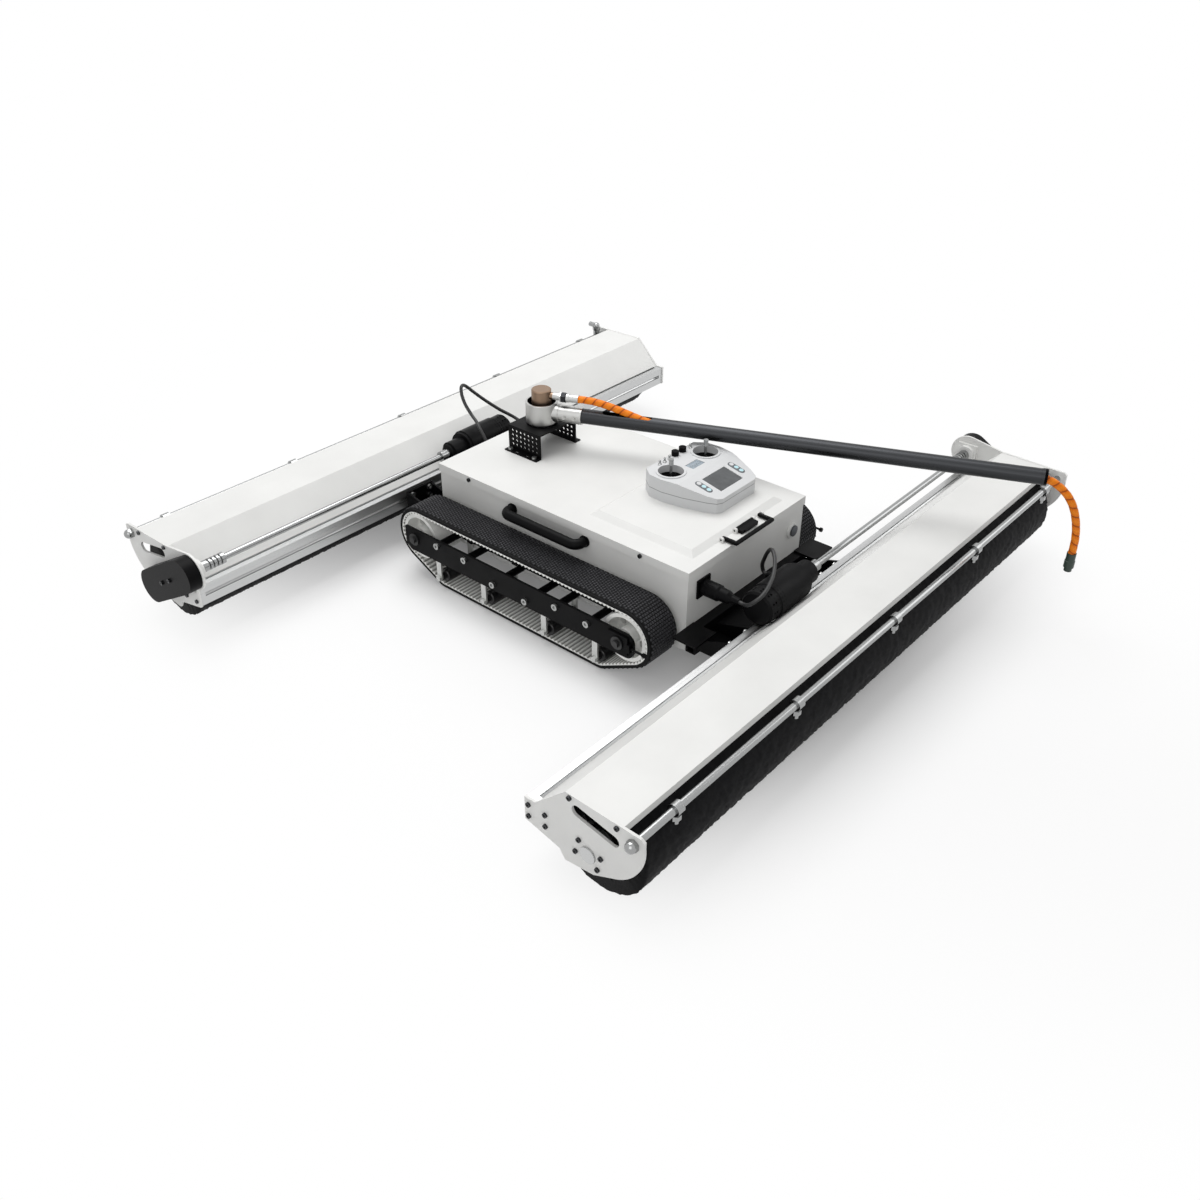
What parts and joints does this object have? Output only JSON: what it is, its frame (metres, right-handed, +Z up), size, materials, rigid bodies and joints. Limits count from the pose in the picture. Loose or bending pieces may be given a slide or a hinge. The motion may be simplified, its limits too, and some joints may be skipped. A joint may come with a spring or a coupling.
{
  "type": "solar panel cleaning robot",
  "caption": "Tracked robot with a roller brush head and spray bar at each end, a swivelling hose arm and a hand controller resting on its lid.",
  "frame": {"origin": "on the ground under the middle of the machine, its hanging hose and cables left out", "axes": "+X along the brushes, +Y from the front brush to the rear brush, +Z up"},
  "size_m": [1.563, 1.5382, 0.3783],
  "materials": {
    "white_paint": "satin powder coat",
    "black_paint": "satin powder coat",
    "aluminium": "anodised",
    "dark_anodised": "dark anodised",
    "steel": "turned",
    "track_rubber": "matt",
    "hood_paint": "satin powder coat",
    "pulley_plastic": "turned",
    "motor_paint": "satin",
    "battery_case": "moulded",
    "black_plastic": "moulded",
    "bronze": "turned",
    "orange_hose": "satin",
    "green_plastic": "moulded",
    "controller_case": "moulded",
    "bristle_nylon": "drawn filament",
    "cable_sheath": "matt"
  },
  "bodies": {
    "chassis": {"chassis_shell": "white_paint", "chassis_lid": "white_paint", "battery_pack": "battery_case", "motor_controller": "aluminium", "track_motors": "steel", "side_handles": "black_plastic", "power_sockets": "black_plastic", "swivel_bracket": "black_paint", "swivel_post": "steel", "track_frames": "black_paint", "left_track_belt": "track_rubber", "right_track_belt": "track_rubber", "brush_arms": "black_paint", "brush_beams": "aluminium", "front_hood": "white_paint", "rear_hood": "white_paint", "front_end_plates": "hood_paint", "rear_end_plates": "hood_paint", "spray_bars": "steel", "spray_nozzles": "steel", "brush_motors": "motor_paint", "belt_covers": "black_plastic", "brush_belts": "track_rubber", "fasteners": "steel", "motor_plugs": "black_plastic", "front_motor_cable": "cable_sheath", "rear_motor_cable": "cable_sheath"},
    "lid_handle": {"lid_handle": "black_paint"},
    "lid_latch": {"lid_latch": "black_paint"},
    "power_button": {"power_button": "steel"},
    "front_drive_shaft": {"front_drive_shaft": "steel"},
    "rear_drive_shaft": {"rear_drive_shaft": "steel"},
    "front_brush": {"front_brush_core": "aluminium", "front_bristles": "bristle_nylon"},
    "rear_brush": {"rear_brush_core": "aluminium", "rear_bristles": "bristle_nylon"},
    "hose_arm": {"swivel_cup": "aluminium", "arm_pole": "dark_anodised", "swivel_union": "bronze", "supply_hose": "orange_hose", "hose_connector": "green_plastic"},
    "hand_controller": {"remote_body": "controller_case"},
    "left_stick_cradle": {"left_stick_cradle": "black_plastic"},
    "left_stick": {"left_stick": "aluminium"},
    "right_stick_cradle": {"right_stick_cradle": "black_plastic"},
    "right_stick": {"right_stick": "aluminium"},
    "left_knob": {"left_knob": "black_plastic"},
    "right_knob": {"right_knob": "black_plastic"},
    "left_drive_pulley": {"left_drive_pulley": "pulley_plastic"},
    "left_idler_pulley": {"left_idler_pulley": "pulley_plastic"},
    "left_road_wheel_1": {"left_road_wheel_1": "aluminium"},
    "left_road_wheel_2": {"left_road_wheel_2": "aluminium"},
    "left_road_wheel_3": {"left_road_wheel_3": "aluminium"},
    "left_road_wheel_4": {"left_road_wheel_4": "aluminium"},
    "right_drive_pulley": {"right_drive_pulley": "pulley_plastic"},
    "right_idler_pulley": {"right_idler_pulley": "pulley_plastic"},
    "right_road_wheel_1": {"right_road_wheel_1": "aluminium"},
    "right_road_wheel_2": {"right_road_wheel_2": "aluminium"},
    "right_road_wheel_3": {"right_road_wheel_3": "aluminium"},
    "right_road_wheel_4": {"right_road_wheel_4": "aluminium"}
  },
  "joints": [
    {"name": "front_brush_spin", "type": "hinge", "parent": "chassis", "child": "front_brush", "pos_m": [0, -0.55817, 0.096], "axis": [1, 0, 0], "continuous": true},
    {"name": "front_drive_spin", "type": "hinge", "parent": "chassis", "child": "front_drive_shaft", "pos_m": [0, -0.42917, 0.1708], "axis": [1, 0, 0], "continuous": true},
    {"name": "rear_brush_spin", "type": "hinge", "parent": "chassis", "child": "rear_brush", "pos_m": [0, 0.61983, 0.096], "axis": [1, 0, 0], "continuous": true},
    {"name": "rear_drive_spin", "type": "hinge", "parent": "chassis", "child": "rear_drive_shaft", "pos_m": [0, 0.49083, 0.1708], "axis": [1, 0, 0], "continuous": true},
    {"name": "left_track_drive", "type": "hinge", "parent": "chassis", "child": "left_drive_pulley", "pos_m": [-0.2497, 0.33883, 0.106], "axis": [1, 0, 0], "continuous": true},
    {"name": "left_idler_spin", "type": "hinge", "parent": "chassis", "child": "left_idler_pulley", "pos_m": [-0.2497, -0.24317, 0.106], "axis": [1, 0, 0], "continuous": true},
    {"name": "left_wheel_1_spin", "type": "hinge", "parent": "chassis", "child": "left_road_wheel_1", "pos_m": [-0.2497, -0.17717, 0.0308], "axis": [1, 0, 0], "continuous": true},
    {"name": "left_wheel_2_spin", "type": "hinge", "parent": "chassis", "child": "left_road_wheel_2", "pos_m": [-0.2497, -0.03917, 0.0308], "axis": [1, 0, 0], "continuous": true},
    {"name": "left_wheel_3_spin", "type": "hinge", "parent": "chassis", "child": "left_road_wheel_3", "pos_m": [-0.2497, 0.13483, 0.0308], "axis": [1, 0, 0], "continuous": true},
    {"name": "left_wheel_4_spin", "type": "hinge", "parent": "chassis", "child": "left_road_wheel_4", "pos_m": [-0.2497, 0.27283, 0.0308], "axis": [1, 0, 0], "continuous": true},
    {"name": "right_track_drive", "type": "hinge", "parent": "chassis", "child": "right_drive_pulley", "pos_m": [0.2497, 0.33883, 0.106], "axis": [1, 0, 0], "continuous": true},
    {"name": "right_idler_spin", "type": "hinge", "parent": "chassis", "child": "right_idler_pulley", "pos_m": [0.2497, -0.24317, 0.106], "axis": [1, 0, 0], "continuous": true},
    {"name": "right_wheel_1_spin", "type": "hinge", "parent": "chassis", "child": "right_road_wheel_1", "pos_m": [0.2497, -0.17717, 0.0308], "axis": [1, 0, 0], "continuous": true},
    {"name": "right_wheel_2_spin", "type": "hinge", "parent": "chassis", "child": "right_road_wheel_2", "pos_m": [0.2497, -0.03917, 0.0308], "axis": [1, 0, 0], "continuous": true},
    {"name": "right_wheel_3_spin", "type": "hinge", "parent": "chassis", "child": "right_road_wheel_3", "pos_m": [0.2497, 0.13483, 0.0308], "axis": [1, 0, 0], "continuous": true},
    {"name": "right_wheel_4_spin", "type": "hinge", "parent": "chassis", "child": "right_road_wheel_4", "pos_m": [0.2497, 0.27283, 0.0308], "axis": [1, 0, 0], "continuous": true},
    {"name": "arm_swivel", "type": "hinge", "parent": "chassis", "child": "hose_arm", "pos_m": [0.014, 0.25183, 0.326], "axis": [0, 0, 1], "range_deg": [0, 300], "deforming": ["supply_hose", "hose_connector"]},
    {"name": "lid_handle_fold", "type": "hinge", "parent": "chassis", "child": "lid_handle", "pos_m": [0.002, -0.30117, 0.247], "axis": [-1, 0, 0], "range_deg": [0, 90]},
    {"name": "lid_latch_lift", "type": "hinge", "parent": "chassis", "child": "lid_latch", "pos_m": [0.0105, -0.30017, 0.247], "axis": [-1, 0, 0], "range_deg": [0, 75]},
    {"name": "power_button_press", "type": "slide", "parent": "chassis", "child": "power_button", "axis": [0, 1, 0], "range_m": [0, 0.003], "stiffness_N_per_m": 200},
    {"name": "controller_lift", "type": "slide", "parent": "chassis", "child": "hand_controller", "axis": [-0.8, 0, 0.6], "range_m": [0, 0.12]},
    {"name": "left_stick_forward", "type": "hinge", "parent": "hand_controller", "child": "left_stick_cradle", "pos_m": [0.011, -0.11317, 0.281], "axis": [1, 0, 0], "range_deg": [-20, 20], "stiffness_Nm_per_rad": 0.1},
    {"name": "left_stick_sideways", "type": "hinge", "parent": "left_stick_cradle", "child": "left_stick", "pos_m": [0.011, -0.11317, 0.281], "axis": [0, 1, 0], "range_deg": [-20, 20], "stiffness_Nm_per_rad": 0.1},
    {"name": "right_stick_forward", "type": "hinge", "parent": "hand_controller", "child": "right_stick_cradle", "pos_m": [0.129, -0.11317, 0.281], "axis": [1, 0, 0], "range_deg": [-20, 20], "stiffness_Nm_per_rad": 0.1},
    {"name": "right_stick_sideways", "type": "hinge", "parent": "right_stick_cradle", "child": "right_stick", "pos_m": [0.129, -0.11317, 0.281], "axis": [0, 1, 0], "range_deg": [-20, 20], "stiffness_Nm_per_rad": 0.1},
    {"name": "left_knob_turn", "type": "hinge", "parent": "hand_controller", "child": "left_knob", "pos_m": [0.075, -0.07417, 0.301], "axis": [0, 0, 1], "range_deg": [-135, 135]},
    {"name": "right_knob_turn", "type": "hinge", "parent": "hand_controller", "child": "right_knob", "pos_m": [0.1, -0.07417, 0.301], "axis": [0, 0, 1], "range_deg": [-135, 135]}
  ],
  "couplings": [
    {"joint": "front_drive_spin", "follows": "front_brush_spin", "ratio": 1.5},
    {"joint": "rear_drive_spin", "follows": "rear_brush_spin", "ratio": 1.5},
    {"joint": "left_idler_spin", "follows": "left_track_drive", "ratio": 1},
    {"joint": "left_wheel_1_spin", "follows": "left_track_drive", "ratio": 3.4667},
    {"joint": "left_wheel_2_spin", "follows": "left_track_drive", "ratio": 3.4667},
    {"joint": "left_wheel_3_spin", "follows": "left_track_drive", "ratio": 3.4667},
    {"joint": "left_wheel_4_spin", "follows": "left_track_drive", "ratio": 3.4667},
    {"joint": "right_idler_spin", "follows": "right_track_drive", "ratio": 1},
    {"joint": "right_wheel_1_spin", "follows": "right_track_drive", "ratio": 3.4667},
    {"joint": "right_wheel_2_spin", "follows": "right_track_drive", "ratio": 3.4667},
    {"joint": "right_wheel_3_spin", "follows": "right_track_drive", "ratio": 3.4667},
    {"joint": "right_wheel_4_spin", "follows": "right_track_drive", "ratio": 3.4667}
  ]
}
